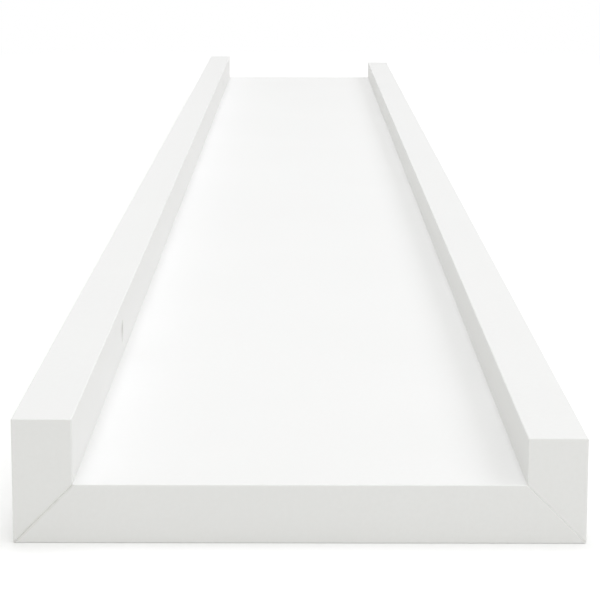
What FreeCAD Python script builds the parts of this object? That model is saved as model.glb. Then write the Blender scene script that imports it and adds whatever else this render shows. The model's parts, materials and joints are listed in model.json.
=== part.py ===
import FreeCAD, Part
import math
import os

# A white picture ledge: three MDF boards, mitred, joined with beech biscuits and glued.
# Millimetres. X runs along the ledge, Y points to the wall and Z points up.
# The origin is on the wall plane, midway between the two screw holes.
# Inside the functions a place across the ledge is given as its depth, measured out from
# the wall, and its height, measured up from the underside.

# The glued-up ledge
LEDGE_LENGTH = 800.0
LEDGE_DEPTH = 90.0
BACK_RAIL_HEIGHT = 20.0
FRONT_LIP_HEIGHT = 17.0
BOARD_THICKNESS = 9.5

# Outer edges eased by sanding, and the hairline groove of a mitre on the end of the ledge
EDGE_RADIUS = 0.25
SEAM_DEPTH = 0.15

# Screw holes through the back rail, placed from the ends and from the shelf's top face.
# Their rims are eased where the screws go in.
SCREW_HOLE_DIAMETER = 4.2
SCREW_HOLE_INSET = 100.0
SCREW_HOLE_RISE = 4.75
SCREW_HOLE_RIM_RADIUS = 0.3

# Biscuits across the mitres: one between each screw hole and the end, the rest between the holes
BISCUIT_LENGTH = 38.0
BISCUIT_WIDTH = 12.0
BISCUIT_THICKNESS = 3.0
BISCUIT_TIP_WIDTH = 1.6
BISCUITS_BETWEEN_HOLES = 3

# Room around a biscuit in its slots
SLOT_SIDE_CLEARANCE = 0.05
SLOT_BOTTOM_CLEARANCE = 0.3
SLOT_END_CLEARANCE = 2.2

# How far a cutting shape runs past what it cuts
CUT_OVERRUN = 1.0

# Places that follow from the sizes above
LEDGE_END = LEDGE_LENGTH / 2
LEDGE_MIDDLE = LEDGE_DEPTH / 2
UNDERSIDE = -(BOARD_THICKNESS + SCREW_HOLE_RISE)
SHELF_TOP = UNDERSIDE + BOARD_THICKNESS
SCREW_HOLE_PLACE = LEDGE_END - SCREW_HOLE_INSET
BISCUIT_SPACING = 2 * SCREW_HOLE_PLACE / (BISCUITS_BETWEEN_HOLES + 1)
END_BISCUIT_PLACE = LEDGE_END - SCREW_HOLE_INSET / 2

# A slot is the bite of a disc cutter, so its floor is an arc
SLOT_DEPTH = BISCUIT_WIDTH / 2 + SLOT_BOTTOM_CLEARANCE
SLOT_WIDTH = BISCUIT_THICKNESS + 2 * SLOT_SIDE_CLEARANCE
SLOT_HALF_LENGTH = BISCUIT_LENGTH / 2 + SLOT_END_CLEARANCE
CUTTER_RADIUS = (SLOT_HALF_LENGTH**2 + SLOT_DEPTH**2) / (2 * SLOT_DEPTH)

# Both ways along a mitre have this share of its length
DIAGONAL_SHARE = math.sqrt(0.5)

# A biscuit sits where the slots leave as much board at the outer face as at the inner corner
NEAREST_TO_OUTER_FACE = (SLOT_DEPTH + SLOT_WIDTH / 2) * DIAGONAL_SHARE
NEAREST_TO_INNER_CORNER = BOARD_THICKNESS - SLOT_WIDTH / 2 * DIAGONAL_SHARE
BISCUIT_OFFSET = (NEAREST_TO_OUTER_FACE + NEAREST_TO_INNER_CORNER) / 2

# The two mitres, each with the depth of its outer face and the way from there into the ledge
MITRES = {"back": (0, 1), "front": (LEDGE_DEPTH, -1)}

# The left and the right end, as the way that each faces along X
ENDS = (-1, 1)


def at(depth, height, along=0):
    """Return the point at a depth, a height and a place along the ledge."""
    return FreeCAD.Vector(along, -depth, UNDERSIDE + height)


def depth_behind(mitre, distance):
    """Return the depth of what lies a distance behind the outer face at a mitre."""
    outer_face, inward = MITRES[mitre]
    return outer_face + inward * distance


def mitre_direction(mitre):
    """Return the direction from the outer edge of a mitre to its inner corner."""
    inward = MITRES[mitre][1]
    return FreeCAD.Vector(0, -inward, 1) * DIAGONAL_SHARE


def upright_direction(mitre):
    """Return the direction square to a mitre that points into its upright board."""
    inward = MITRES[mitre][1]
    return FreeCAD.Vector(0, inward, 1) * DIAGONAL_SHARE


def prism(outline, half_length):
    """Extrude an outline of depths and heights evenly to both ends."""
    points = [at(depth, height, -half_length) for depth, height in outline]
    face = Part.Face(Part.makePolygon(points + points[:1]))
    return face.extrude(FreeCAD.Vector(2 * half_length, 0, 0))


def is_inner_corner(edge):
    """Tell whether an edge is one of the two long corners of the channel."""
    on_shelf_top = math.isclose(edge.CenterOfMass.z, SHELF_TOP)
    return on_shelf_top and math.isclose(edge.Length, LEDGE_LENGTH)


def eased_ledge():
    """Return the outer form of the glued-up ledge, with its outer edges eased."""
    lip_inside = LEDGE_DEPTH - BOARD_THICKNESS
    outline = [
        (0, 0),
        (LEDGE_DEPTH, 0),
        (LEDGE_DEPTH, FRONT_LIP_HEIGHT),
        (lip_inside, FRONT_LIP_HEIGHT),
        (lip_inside, BOARD_THICKNESS),
        (BOARD_THICKNESS, BOARD_THICKNESS),
        (BOARD_THICKNESS, BACK_RAIL_HEIGHT),
        (0, BACK_RAIL_HEIGHT),
    ]
    ledge = prism(outline, LEDGE_END)
    outer_edges = [edge for edge in ledge.Edges if not is_inner_corner(edge)]
    return ledge.makeFillet(EDGE_RADIUS, outer_edges)


def upright_space(mitre):
    """Return the space on the upright board's side of a mitre."""
    top = LEDGE_MIDDLE + max(BACK_RAIL_HEIGHT, FRONT_LIP_HEIGHT)
    outline = [
        (depth_behind(mitre, -CUT_OVERRUN), -CUT_OVERRUN),
        (LEDGE_MIDDLE, LEDGE_MIDDLE),
        (LEDGE_MIDDLE, top),
        (depth_behind(mitre, -CUT_OVERRUN), top),
    ]
    return prism(outline, LEDGE_END + CUT_OVERRUN)


def shelf_space():
    """Return the space below both mitres, which the shelf board fills."""
    outline = [
        (-CUT_OVERRUN, -CUT_OVERRUN),
        (LEDGE_DEPTH + CUT_OVERRUN, -CUT_OVERRUN),
        (LEDGE_MIDDLE, LEDGE_MIDDLE),
    ]
    return prism(outline, LEDGE_END + CUT_OVERRUN)


def biscuit_places():
    """Return the places of the biscuits along a mitre, clear of the screw holes."""
    numbers = range(1, BISCUITS_BETWEEN_HOLES + 1)
    between = [number * BISCUIT_SPACING - SCREW_HOLE_PLACE for number in numbers]
    return [-END_BISCUIT_PLACE] + between + [END_BISCUIT_PLACE]


def biscuit_centre(mitre, along):
    """Return the middle of a biscuit, which lies on the mitre."""
    return at(depth_behind(mitre, BISCUIT_OFFSET), BISCUIT_OFFSET, along)


def biscuit(mitre, along):
    """Return one lens-shaped biscuit, half of it in each board."""
    through = mitre_direction(mitre)
    across = upright_direction(mitre)
    start = biscuit_centre(mitre, along) - through * (BISCUIT_THICKNESS / 2)

    def corner(length_sign, width_sign):
        lengthwise = FreeCAD.Vector(length_sign * BISCUIT_LENGTH / 2, 0, 0)
        return start + lengthwise + across * (width_sign * BISCUIT_TIP_WIDTH / 2)

    crown = across * (BISCUIT_WIDTH / 2)
    outline = [
        Part.Arc(corner(-1, 1), start + crown, corner(1, 1)),
        Part.LineSegment(corner(1, 1), corner(1, -1)),
        Part.Arc(corner(1, -1), start - crown, corner(-1, -1)),
        Part.LineSegment(corner(-1, -1), corner(-1, 1)),
    ]
    face = Part.Face(Part.Wire([curve.toShape() for curve in outline]))
    return face.extrude(through * BISCUIT_THICKNESS)


def slot_cutter(mitre, along, into_board):
    """Return the disc that cuts a biscuit's slot; into_board points into the board to cut."""
    through = mitre_direction(mitre)
    centre = biscuit_centre(mitre, along) - into_board * (CUTTER_RADIUS - SLOT_DEPTH)
    return Part.makeCylinder(CUTTER_RADIUS, SLOT_WIDTH, centre - through * (SLOT_WIDTH / 2), through)


def seam_cutter(mitre, end):
    """Return the V-shaped cutter for the hairline of a mitre on one end of the ledge."""
    along_seam = mitre_direction(mitre)
    across_seam = upright_direction(mitre)
    outward = FreeCAD.Vector(end, 0, 0)
    start = at(depth_behind(mitre, 0), 0, end * LEDGE_END) - along_seam * CUT_OVERRUN
    opening = across_seam * (SEAM_DEPTH + CUT_OVERRUN)
    outside = start + outward * CUT_OVERRUN
    corners = [start - outward * SEAM_DEPTH, outside + opening, outside - opening]
    face = Part.Face(Part.makePolygon(corners + corners[:1]))
    seam_length = BOARD_THICKNESS / DIAGONAL_SHARE
    return face.extrude(along_seam * (seam_length + 2 * CUT_OVERRUN))


def screw_hole_cutter(along):
    """Return the drill for one plain screw hole, square to the wall."""
    start = FreeCAD.Vector(along, CUT_OVERRUN, 0)
    from_wall = FreeCAD.Vector(0, -1, 0)
    return Part.makeCylinder(SCREW_HOLE_DIAMETER / 2, BOARD_THICKNESS + 2 * CUT_OVERRUN, start, from_wall)


def is_screw_hole_rim(edge):
    """Tell whether an edge is the rim of a screw hole where its screw goes in."""
    on_inner_face = math.isclose(edge.CenterOfMass.y, -BOARD_THICKNESS)
    return on_inner_face and math.isclose(edge.Length, math.pi * SCREW_HOLE_DIAMETER)


def joint_cutters(mitre, into_board):
    """Return what cuts one board at a mitre: its biscuit slots and its half of the seams."""
    slots = [slot_cutter(mitre, along, into_board) for along in biscuit_places()]
    seams = [seam_cutter(mitre, end) for end in ENDS]
    return slots + seams


def upright_board(ledge, mitre):
    """Return the upright board at a mitre, slotted for its biscuits."""
    board = ledge.common(upright_space(mitre))
    return board.cut(joint_cutters(mitre, upright_direction(mitre)))


def back_rail(ledge):
    """Return the board against the wall, with its two screw holes, their rims eased."""
    screw_holes = [screw_hole_cutter(end * SCREW_HOLE_PLACE) for end in ENDS]
    board = upright_board(ledge, "back").cut(screw_holes)
    rims = [edge for edge in board.Edges if is_screw_hole_rim(edge)]
    return board.makeFillet(SCREW_HOLE_RIM_RADIUS, rims)


def front_lip(ledge):
    """Return the low board along the front."""
    return upright_board(ledge, "front")


def shelf_board(ledge):
    """Return the board that carries the pictures, mitred and slotted along both sides."""
    board = ledge.common(shelf_space())
    for mitre in MITRES:
        board = board.cut(joint_cutters(mitre, -upright_direction(mitre)))
    return board


def pieces():
    """Return each piece of the ledge by its name."""
    ledge = eased_ledge()
    named = {
        "back_rail": back_rail(ledge).Solids[0],
        "shelf_board": shelf_board(ledge).Solids[0],
        "front_lip": front_lip(ledge).Solids[0],
    }
    for mitre in MITRES:
        for number, along in enumerate(biscuit_places(), start=1):
            named[f"{mitre}_biscuit_{number}"] = biscuit(mitre, along)
    return named


os.makedirs("parts", exist_ok=True)
for name, shape in pieces().items():
    shape.exportStep(f"parts/{name}.step")
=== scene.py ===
import json
import math

import bpy
from mathutils import Matrix, Vector


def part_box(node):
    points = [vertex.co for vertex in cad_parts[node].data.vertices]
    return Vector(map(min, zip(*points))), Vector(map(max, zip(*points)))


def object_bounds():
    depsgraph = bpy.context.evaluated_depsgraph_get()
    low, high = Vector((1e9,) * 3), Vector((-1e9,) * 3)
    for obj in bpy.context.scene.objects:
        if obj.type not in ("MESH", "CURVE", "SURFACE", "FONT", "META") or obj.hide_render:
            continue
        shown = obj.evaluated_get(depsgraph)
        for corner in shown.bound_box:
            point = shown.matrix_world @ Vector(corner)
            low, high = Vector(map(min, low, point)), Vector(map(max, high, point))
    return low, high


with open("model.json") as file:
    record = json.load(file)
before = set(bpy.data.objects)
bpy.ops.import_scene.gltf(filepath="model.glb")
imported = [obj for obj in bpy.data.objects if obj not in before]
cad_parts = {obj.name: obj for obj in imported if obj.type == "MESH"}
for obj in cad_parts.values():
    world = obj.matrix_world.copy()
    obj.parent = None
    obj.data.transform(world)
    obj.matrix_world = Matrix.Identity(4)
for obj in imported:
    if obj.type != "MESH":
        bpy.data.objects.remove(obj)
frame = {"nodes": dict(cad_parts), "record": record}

# A white picture ledge: three lacquered boards, mitred and joined with beech biscuits.
# Metres, in the frame of the model: X along the ledge, Y to the wall, Z up.

MM = 0.001
QUARTER_TURN = math.pi / 2
WHITE = (1.0, 1.0, 1.0)

# Places on the ledge
CAD_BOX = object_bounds()
LOW, HIGH = CAD_BOX
MIDDLE = (LOW + HIGH) / 2
HALF_SIZE = (HIGH - LOW) / 2
UNDERSIDE = LOW.z
WALL_FACE = HIGH.y
FRONT_FACE = LOW.y
SHELF_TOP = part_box("shelf_board")[1].z
RAIL_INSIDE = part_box("back_rail")[0].y

# The two screw holes are alike, on either side of the middle
SCREW_HOLE = next(mount for mount in frame["record"]["mounts"] if mount["kind"] == "bore")
SCREW_HOLE_PLACE = abs(SCREW_HOLE["pos_m"][0])
SCREW_HOLE_HEIGHT = SCREW_HOLE["pos_m"][2]
SCREW_HOLE_RADIUS = SCREW_HOLE["dims"]["r_mm"] * MM

# The camera stands before the left end of the ledge and looks down along it
CAMERA_LENS_MM = 132.0
CAMERA_SENSOR_MM = 36.0
CAMERA_BEFORE_END = 0.3328
CAMERA_ABOVE_UNDERSIDE = 0.0995
CAMERA_SIDESTEP = 0.0004
CAMERA_PITCH = math.radians(10.33)
CAMERA_YAW = math.radians(-0.06)
CAMERA_ROLL = math.radians(0.095)
CAMERA_NEAREST = 0.01
CAMERA_FARTHEST = 50.0

# Even light from all round, a little warm
AMBIENT_LEVEL = 0.50
AMBIENT_COLOUR = (1.0, 1.004, 0.92)

# Soft boxes, all aimed at the middle of the ledge. Azimuth and elevation, in degrees, give the way
# to each. Azimuth 0 is in front of the ledge and -90 is off its left end, and an elevation past 90
# leans over to the wall side. Power is in watts.
SOFT_BOXES = {
    "overhead_box": {
        "azimuth": 0.0,
        "elevation": 93.0,
        "distance": 1.6,
        "width": 2.8,
        "height": 0.6,
        "power": 11.9,
        "colour": (1.0, 1.0, 1.075),
    },
    "front_box": {
        "azimuth": 0.0,
        "elevation": 47.0,
        "distance": 1.6,
        "width": 2.8,
        "height": 0.8,
        "power": 7.75,
        "colour": (1.0, 1.0, 1.06),
    },
    "end_box": {
        "azimuth": -75.0,
        "elevation": 25.0,
        "distance": 1.4,
        "width": 1.0,
        "height": 0.8,
        "power": 1.65,
        "colour": WHITE,
    },
}

# The floor that the ledge rests on. Its white glow is weak beside the ledge, where it lets the
# ledge's shadow show, and stronger beyond. Well away from the ledge the floor is plain white.
FLOOR_HALF_SIZE = 6.0
FLOOR_COLOUR = (0.90, 0.90, 0.90)
FLOOR_GLOW_BESIDE = 0.10
FLOOR_GLOW_BEYOND = 0.25
FLOOR_GLOW_REACH = 11.0 * MM
FLOOR_WHITE_FROM = 0.45
FLOOR_WHITE_AT = 0.75

# Noise stays near its middle level, so a span of it is stretched to the range from 0 to 1
NOISE_SPAN = (0.35, 0.65)
WIDE_NOISE_SPAN = (0.30, 0.70)
PLAIN_DETAIL = 2.0
FINE_DETAIL = 4.0

# White satin lacquer. A coat is a little uneven in tone and gloss, and its skin is not quite flat.
LACQUER_DARK = (0.876, 0.876, 0.872)
LACQUER_LIGHT = (0.892, 0.892, 0.889)
LACQUER_ROUGHNESS = (0.42, 0.52)
LACQUER_CLOUDS_PER_METRE = 14.0
LACQUER_GRAIN_PER_METRE = 1300.0
LACQUER_GRAIN_SHARE = 0.4
LACQUER_SKIN_PER_METRE = 650.0
LACQUER_SKIN_HEIGHT = 0.006 * MM

# The narrow edges and the ends of the boards take the coat duller than the broad faces. They are
# the faces that look squarely along the ledge, and those above the shelf that look squarely up.
EDGE_DARK = (0.845, 0.845, 0.841)
EDGE_LIGHT = (0.863, 0.863, 0.860)
EDGE_ROUGHNESS = (0.50, 0.62)
EDGE_FACING = (0.75, 0.95)
EDGE_ABOVE_SHELF = 1.0 * MM

# The coat sinks into the mitres, which show on the ends as broken hairlines of painted shade. The
# front one is painted fainter than the back one, as more light falls on it.
SEAM_SHADE_COLOUR = (0.79, 0.787, 0.777)
SEAM_HALF_WIDTH = (0.14 * MM, 0.40 * MM)
SEAM_FACING = 0.5
SEAM_BREAKS_PER_METRE = 700.0
SEAM_LEAST_SHARE = 0.5
FRONT_SEAM_SHADE_SHARE = 0.15
DIAGONAL_SHARE = math.sqrt(0.5)

# Bare fibreboard inside the screw holes, past the lacquer at their rims
FIBRE_DARK = (0.30, 0.21, 0.13)
FIBRE_LIGHT = (0.52, 0.41, 0.28)
FIBRE_ROUGHNESS = 0.9
FIBRES_PER_METRE = 2200.0
LACQUERED_RIM = (0.5 * MM, 0.9 * MM)
BORE_WALL_MARGIN = (0.03 * MM, 0.12 * MM)

# Pressed beech, with its grain on a slant along each biscuit
BEECH_DARK = (0.44, 0.28, 0.15)
BEECH_LIGHT = (0.66, 0.47, 0.29)
BEECH_FLECK = (0.30, 0.17, 0.08)
BEECH_ROUGHNESS = (0.62, 0.78)
BEECH_GRAIN_SLANT = math.radians(35.0)
BEECH_GRAIN_STRETCH = (0.12, 1.0, 1.0)
BEECH_GRAIN_PER_METRE = 900.0
BEECH_GRAIN_HEIGHT = 0.05 * MM
BEECH_FLECKS_PER_METRE = 1700.0
BEECH_FLECK_SPAN = (0.62, 0.70)


def feed(tree, socket, value):
    """Link an output to a socket, or set the socket to a plain value or an opaque colour."""
    if isinstance(value, bpy.types.NodeSocket):
        tree.links.new(value, socket)
    elif socket.type == "RGBA":
        socket.default_value = (*value, 1.0)
    else:
        socket.default_value = value


def node(tree, kind, inputs=None, **settings):
    """Add a shader node with its settings, and feed its inputs by name or number."""
    made = tree.nodes.new("ShaderNode" + kind)
    for name, value in settings.items():
        setattr(made, name, value)
    for key, value in (inputs or {}).items():
        feed(tree, made.inputs[key], value)
    return made


def calculate(tree, operation, *values):
    """Add a math node and return its result."""
    return node(tree, "Math", dict(enumerate(values)), operation=operation).outputs[0]


def ranged(tree, value, start, end, first=0.0, last=1.0):
    """Return a smooth change from first to last as a value goes from start to end."""
    inputs = {"Value": value, "From Min": start, "From Max": end, "To Min": first, "To Max": last}
    return node(tree, "MapRange", inputs, interpolation_type="SMOOTHSTEP").outputs[0]


def mixed_value(tree, share, first, second, data_type="FLOAT"):
    """Return the value that lies a share of the way from the first to the second."""
    inputs = {"Factor": share, "A": first, "B": second}
    return node(tree, "Mix", inputs, data_type=data_type).outputs["Result"]


def mixed_colour(tree, share, first, second):
    """Return the colour that lies a share of the way from the first to the second."""
    return mixed_value(tree, share, first, second, "RGBA")


def mixed_shader(tree, share, first, second):
    """Return the shader that lies a share of the way from the first to the second."""
    return node(tree, "MixShader", {0: share, 1: first, 2: second}).outputs[0]


def noise(tree, place, per_metre, detail=PLAIN_DETAIL):
    """Return noise with so many patches to the metre."""
    return node(tree, "TexNoise", {"Vector": place, "Scale": per_metre, "Detail": detail}).outputs[0]


def split(tree, vector):
    """Return the three parts of a vector."""
    return node(tree, "SeparateXYZ", {0: vector}).outputs


def joined(tree, **parts):
    """Return the vector that has these parts, with zero for a part that isn't given."""
    return node(tree, "CombineXYZ", parts).outputs[0]


def length(tree, vector):
    """Return the length of a vector."""
    return node(tree, "VectorMath", {0: vector}, operation="LENGTH").outputs["Value"]


def new_material(name):
    """Return a new material, its node tree and its surface shader."""
    material = bpy.data.materials.new(name)
    material.use_nodes = True
    tree = material.node_tree
    return material, tree, tree.nodes["Principled BSDF"]


def set_surface(tree, shader, colour, roughness, relief, relief_height):
    """Give a surface shader its colour, its roughness and the relief of its skin."""
    bump = node(tree, "Bump", {"Height": relief, "Distance": relief_height})
    feed(tree, shader.inputs["Base Color"], colour)
    feed(tree, shader.inputs["Roughness"], roughness)
    feed(tree, shader.inputs["Normal"], bump.outputs[0])


def seen_directly(tree):
    """Return 1 for rays that show a surface to the camera, a reflection or a clear body, else 0."""
    path = node(tree, "LightPath").outputs
    shown = calculate(tree, "MAXIMUM", path["Is Camera Ray"], path["Is Glossy Ray"])
    return calculate(tree, "MAXIMUM", shown, path["Is Transmission Ray"])


def add_camera():
    """Add the camera and make it the scene's own."""
    data = bpy.data.cameras.new("camera")
    data.lens = CAMERA_LENS_MM
    data.sensor_width = CAMERA_SENSOR_MM
    data.clip_start = CAMERA_NEAREST
    data.clip_end = CAMERA_FARTHEST
    camera = bpy.data.objects.new("camera", data)
    place = Vector((
        LOW.x - CAMERA_BEFORE_END,
        MIDDLE.y + CAMERA_SIDESTEP,
        UNDERSIDE + CAMERA_ABOVE_UNDERSIDE,
    ))
    heading = Matrix.Rotation(CAMERA_YAW - QUARTER_TURN, 4, "Z")
    tilt = Matrix.Rotation(QUARTER_TURN - CAMERA_PITCH, 4, "X")
    roll = Matrix.Rotation(CAMERA_ROLL, 4, "Z")
    camera.matrix_world = Matrix.Translation(place) @ heading @ tilt @ roll
    bpy.context.scene.collection.objects.link(camera)
    bpy.context.scene.camera = camera


def add_world():
    """Add even light from all round, which shows as plain white."""
    world = bpy.data.worlds.new("studio")
    world.use_nodes = True
    bpy.context.scene.world = world
    tree = world.node_tree
    tree.nodes.clear()
    light = node(tree, "Background", {"Color": AMBIENT_COLOUR, "Strength": AMBIENT_LEVEL}).outputs[0]
    white = node(tree, "Background", {"Color": WHITE}).outputs[0]
    node(tree, "OutputWorld", {"Surface": mixed_shader(tree, seen_directly(tree), light, white)})


def add_soft_box(name, azimuth, elevation, distance, width, height, power, colour):
    """Add one soft box that faces the middle of the ledge."""
    data = bpy.data.lights.new(name, "AREA")
    data.shape = "RECTANGLE"
    data.size = width
    data.size_y = height
    data.energy = power
    data.color = colour
    lamp = bpy.data.objects.new(name, data)
    around = math.radians(azimuth)
    up = math.radians(elevation)
    way = Vector((math.sin(around) * math.cos(up), -math.cos(around) * math.cos(up), math.sin(up)))
    lamp.rotation_mode = "QUATERNION"
    lamp.location = MIDDLE + way * distance
    lamp.rotation_quaternion = way.to_track_quat("Z", "Y")
    lamp.visible_camera = False
    bpy.context.scene.collection.objects.link(lamp)


def outside_ledge(tree, place):
    """Return how far a place, counted on the floor from the ledge's middle, lies outside the ledge."""
    across = split(tree, place)
    past_end = calculate(tree, "SUBTRACT", calculate(tree, "ABSOLUTE", across["X"]), HALF_SIZE.x)
    past_side = calculate(tree, "SUBTRACT", calculate(tree, "ABSOLUTE", across["Y"]), HALF_SIZE.y)
    off_end = calculate(tree, "MAXIMUM", past_end, 0.0)
    off_side = calculate(tree, "MAXIMUM", past_side, 0.0)
    return length(tree, joined(tree, X=off_end, Y=off_side))


def floor_material():
    """Return a pale floor that shows white, with the shadow of the ledge on it."""
    material, tree, _ = new_material("floor_white")
    tree.nodes.clear()
    place = node(tree, "TexCoord").outputs["Object"]
    plain = node(tree, "BsdfDiffuse", {"Color": FLOOR_COLOUR}).outputs[0]
    glow_levels = (FLOOR_GLOW_BESIDE, FLOOR_GLOW_BEYOND)
    glow_level = ranged(tree, outside_ledge(tree, place), 0.0, FLOOR_GLOW_REACH, *glow_levels)
    glow = node(tree, "Emission", {"Color": WHITE, "Strength": glow_level}).outputs[0]
    near = node(tree, "AddShader", {0: plain, 1: glow}).outputs[0]
    far = node(tree, "Emission", {"Color": WHITE}).outputs[0]
    whitening = ranged(tree, length(tree, place), FLOOR_WHITE_FROM, FLOOR_WHITE_AT)
    shown = mixed_shader(tree, whitening, near, far)
    surface = mixed_shader(tree, seen_directly(tree), plain, shown)
    node(tree, "OutputMaterial", {"Surface": surface})
    return material


def add_floor():
    """Add the floor under the ledge."""
    half = FLOOR_HALF_SIZE
    corners = [(-half, -half, 0), (half, -half, 0), (half, half, 0), (-half, half, 0)]
    mesh = bpy.data.meshes.new("floor")
    mesh.from_pydata(corners, [], [(0, 1, 2, 3)])
    mesh.materials.append(floor_material())
    floor = bpy.data.objects.new("floor", mesh)
    floor.location = (MIDDLE.x, MIDDLE.y, UNDERSIDE)
    bpy.context.scene.collection.objects.link(floor)


def narrow_edge(tree, place, normal):
    """Return 1 on the ends of the boards and on top of the two upright boards, else 0."""
    facing = split(tree, normal)
    on_end = ranged(tree, calculate(tree, "ABSOLUTE", facing["X"]), *EDGE_FACING)
    faces_up = ranged(tree, facing["Z"], *EDGE_FACING)
    height = split(tree, place)["Z"]
    above_shelf = calculate(tree, "GREATER_THAN", height, SHELF_TOP + EDGE_ABOVE_SHELF)
    on_top = calculate(tree, "MULTIPLY", faces_up, above_shelf)
    return calculate(tree, "MAXIMUM", on_end, on_top)


def bare_bore(tree, place):
    """Return 1 on the wall of a screw hole, past the lacquer at its rims, else 0."""
    across = split(tree, place)
    aside = calculate(tree, "SUBTRACT", calculate(tree, "ABSOLUTE", across["X"]), SCREW_HOLE_PLACE)
    above = calculate(tree, "SUBTRACT", across["Z"], SCREW_HOLE_HEIGHT)
    radius = length(tree, joined(tree, X=aside, Z=above))
    starts, ends = (SCREW_HOLE_RADIUS + margin for margin in BORE_WALL_MARGIN)
    on_wall = ranged(tree, radius, starts, ends, 1.0, 0.0)
    from_wall = calculate(tree, "SUBTRACT", WALL_FACE, across["Y"])
    from_inside = calculate(tree, "SUBTRACT", across["Y"], RAIL_INSIDE)
    inside = calculate(tree, "MINIMUM", from_wall, from_inside)
    return calculate(tree, "MULTIPLY", on_wall, ranged(tree, inside, *LACQUERED_RIM))


def mitre_seam_shade(tree, place, normal):
    """Return painted shade along the mitre hairlines on the ends of the ledge, from 0 to 1."""
    across = split(tree, place)
    height = calculate(tree, "SUBTRACT", across["Z"], UNDERSIDE)
    behind_wall_face = calculate(tree, "SUBTRACT", WALL_FACE, across["Y"])
    behind_front = calculate(tree, "SUBTRACT", across["Y"], FRONT_FACE)
    depth = calculate(tree, "MINIMUM", behind_wall_face, behind_front)
    offset = calculate(tree, "ABSOLUTE", calculate(tree, "SUBTRACT", depth, height))
    aside = calculate(tree, "MULTIPLY", offset, DIAGONAL_SHARE)
    line = ranged(tree, aside, *SEAM_HALF_WIDTH, 1.0, 0.0)
    facing = calculate(tree, "ABSOLUTE", split(tree, normal)["X"])
    on_end = calculate(tree, "GREATER_THAN", facing, SEAM_FACING)
    breaks = noise(tree, place, SEAM_BREAKS_PER_METRE)
    broken = ranged(tree, breaks, *NOISE_SPAN, SEAM_LEAST_SHARE, 1.0)
    # The front hairline gets less painted shade, as more light falls on it
    at_front = calculate(tree, "LESS_THAN", behind_front, behind_wall_face)
    shade_by_side = ranged(tree, at_front, 0.0, 1.0, 1.0, FRONT_SEAM_SHADE_SHARE)
    shown = calculate(tree, "MULTIPLY", calculate(tree, "MULTIPLY", line, on_end), broken)
    return calculate(tree, "MULTIPLY", shown, shade_by_side)


def coat_colour(tree, place, clouds, edge, seam_shade):
    """Return the colour of the lacquer on faces and narrow edges, with painted shade along the mitre
    seams.
    """
    grain = noise(tree, place, LACQUER_GRAIN_PER_METRE)
    cloudiness = calculate(tree, "MULTIPLY", clouds, 1.0 - LACQUER_GRAIN_SHARE)
    unevenness = calculate(tree, "MULTIPLY_ADD", grain, LACQUER_GRAIN_SHARE, cloudiness)
    uneven = ranged(tree, unevenness, *NOISE_SPAN)
    on_faces = mixed_colour(tree, uneven, LACQUER_DARK, LACQUER_LIGHT)
    on_edges = mixed_colour(tree, uneven, EDGE_DARK, EDGE_LIGHT)
    even_coat = mixed_colour(tree, edge, on_faces, on_edges)
    # Painted shade darkens the coat along the mitre hairlines
    return mixed_colour(tree, seam_shade, even_coat, SEAM_SHADE_COLOUR)


def coat_roughness(tree, clouds, edge):
    """Return the roughness of the lacquer on faces and narrow edges."""
    on_faces = ranged(tree, clouds, *WIDE_NOISE_SPAN, *LACQUER_ROUGHNESS)
    on_edges = ranged(tree, clouds, *WIDE_NOISE_SPAN, *EDGE_ROUGHNESS)
    return mixed_value(tree, edge, on_faces, on_edges)


def fibre_colour(tree, place):
    """Return the colour of bare fibreboard."""
    fibres = noise(tree, place, FIBRES_PER_METRE, FINE_DETAIL)
    return mixed_colour(tree, fibres, FIBRE_DARK, FIBRE_LIGHT)


def lacquer_material():
    """Return white satin lacquer over fibreboard, which is bare inside the screw holes."""
    material, tree, shader = new_material("white_satin_lacquer")
    surface = node(tree, "TexCoord").outputs
    place = surface["Object"]
    normal = surface["Normal"]
    clouds = noise(tree, place, LACQUER_CLOUDS_PER_METRE)
    edge = narrow_edge(tree, place, normal)
    # Painted shade along the mitre hairlines on the ends
    seam_shade = mitre_seam_shade(tree, place, normal)
    bare = bare_bore(tree, place)

    coat = coat_colour(tree, place, clouds, edge, seam_shade)
    colour = mixed_colour(tree, bare, coat, fibre_colour(tree, place))
    roughness = mixed_value(tree, bare, coat_roughness(tree, clouds, edge), FIBRE_ROUGHNESS)
    skin = noise(tree, place, LACQUER_SKIN_PER_METRE)
    set_surface(tree, shader, colour, roughness, skin, LACQUER_SKIN_HEIGHT)
    return material


def beech_material():
    """Return raw pressed beech with slanting grain and dark flecks."""
    material, tree, shader = new_material("raw_pressed_beech")
    place = node(tree, "TexCoord").outputs["Object"]
    slant = (0.0, 0.0, BEECH_GRAIN_SLANT)
    mapping = node(tree, "Mapping", {"Vector": place, "Rotation": slant, "Scale": BEECH_GRAIN_STRETCH})
    along_grain = mapping.outputs[0]
    grain = noise(tree, along_grain, BEECH_GRAIN_PER_METRE, FINE_DETAIL)
    flecks = noise(tree, along_grain, BEECH_FLECKS_PER_METRE)
    wood = mixed_colour(tree, grain, BEECH_DARK, BEECH_LIGHT)
    colour = mixed_colour(tree, ranged(tree, flecks, *BEECH_FLECK_SPAN), wood, BEECH_FLECK)
    roughness = ranged(tree, grain, *WIDE_NOISE_SPAN, *BEECH_ROUGHNESS)
    set_surface(tree, shader, colour, roughness, grain, BEECH_GRAIN_HEIGHT)
    return material


def dress_nodes():
    """Give each piece of the model its finish, by the material slot that it came with."""
    finishes = {"white_lacquer": lacquer_material(), "pressed_beech": beech_material()}
    for piece in frame["nodes"].values():
        for slot in piece.material_slots:
            slot.material = finishes[slot.material.name]


bpy.context.scene.view_settings.view_transform = "Standard"
add_camera()
add_world()
for box_name, box_values in SOFT_BOXES.items():
    add_soft_box(box_name, **box_values)
add_floor()
dress_nodes()
